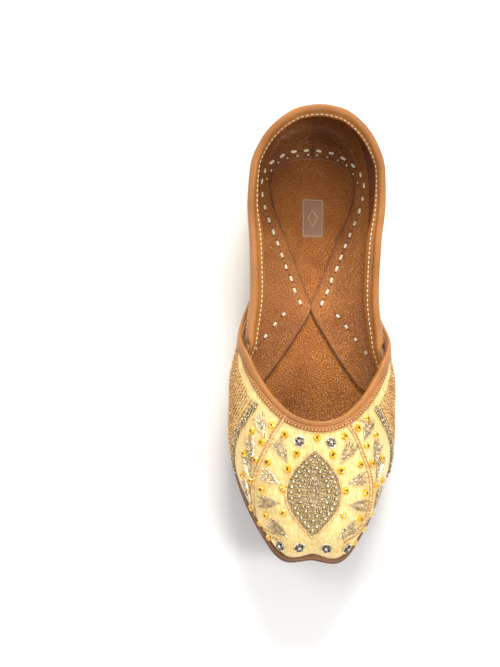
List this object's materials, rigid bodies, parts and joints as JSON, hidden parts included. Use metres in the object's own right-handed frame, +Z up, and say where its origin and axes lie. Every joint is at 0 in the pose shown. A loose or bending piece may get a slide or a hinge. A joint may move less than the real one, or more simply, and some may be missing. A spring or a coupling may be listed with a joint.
{
  "type": "mojari shoe",
  "caption": "Flat embroidered leather slip-on with a low open throat, lapped vamp and quarter, and a blunt turned-up toe.",
  "frame": {"origin": "middle of the shoe's bounding box, on the floor under the sole", "axes": "+Z up, toe toward -Y, heel toward +Y, +X across the shoe"},
  "size_m": [0.086, 0.25, 0.06],
  "materials": {
    "outsole_leather": "smooth cut edge, brown",
    "midsole_leather": "raw cut edge, pale brown",
    "insole_leather": "grained, slightly glossy, russet",
    "gold_cloth": "pale gold silk-like weave over leather",
    "binding_leather": "smooth tan edging",
    "lining_leather": "grained, satin, brown"
  },
  "bodies": {
    "root": {"outsole": "outsole_leather", "midsole": "midsole_leather", "insole": "insole_leather", "upper": "gold_cloth", "collar_binding": "binding_leather", "throat_binding": "binding_leather", "lining_flap_left": "lining_leather", "lining_flap_right": "lining_leather"}
  },
  "joints": []
}
